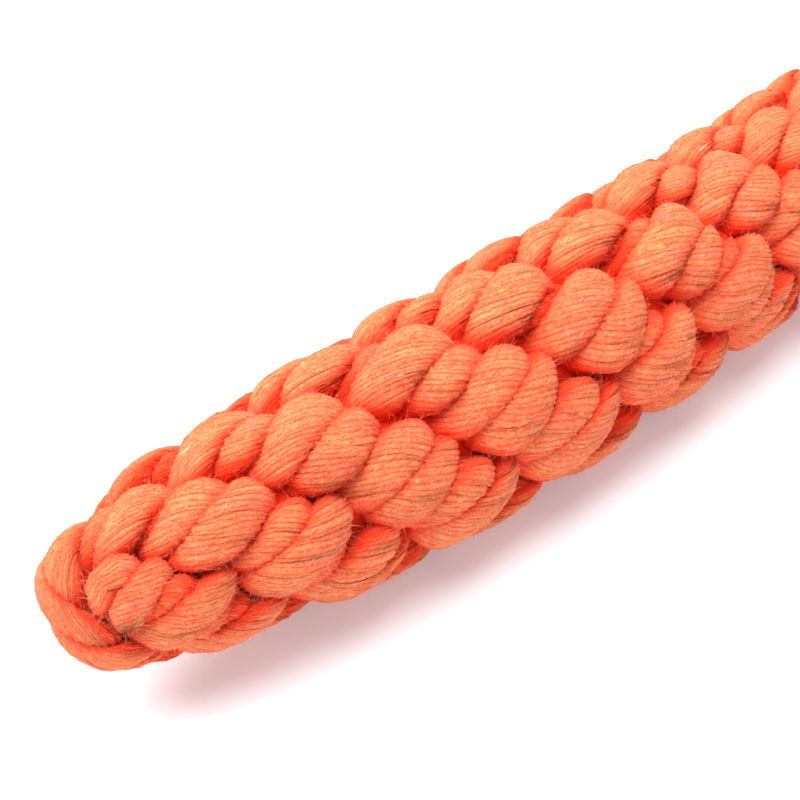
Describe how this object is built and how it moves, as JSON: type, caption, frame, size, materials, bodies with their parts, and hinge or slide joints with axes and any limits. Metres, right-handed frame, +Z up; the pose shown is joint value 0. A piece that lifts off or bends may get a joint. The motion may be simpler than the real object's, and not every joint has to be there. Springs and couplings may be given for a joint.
{
  "type": "plaited rope training bumper",
  "caption": "Round tapering stick of plaited cotton rope with a blunt crossed tip, a whipped neck and a cut rope tassel, for a dog to carry.",
  "frame": {"origin": "centre of the stick's footprint, on the surface it lies on", "axes": "+X along the stick, from the blunt tip towards the tassel; +Z up"},
  "size_m": [0.256, 0.0452, 0.0414],
  "materials": {
    "rope_a": "matte twisted cotton",
    "rope_b": "matte twisted cotton",
    "whipping_twine": "matte cotton twine"
  },
  "bodies": {
    "root": {"rope_a": "rope_a", "rope_b": "rope_b", "whipping_twine": "whipping_twine"}
  },
  "joints": []
}
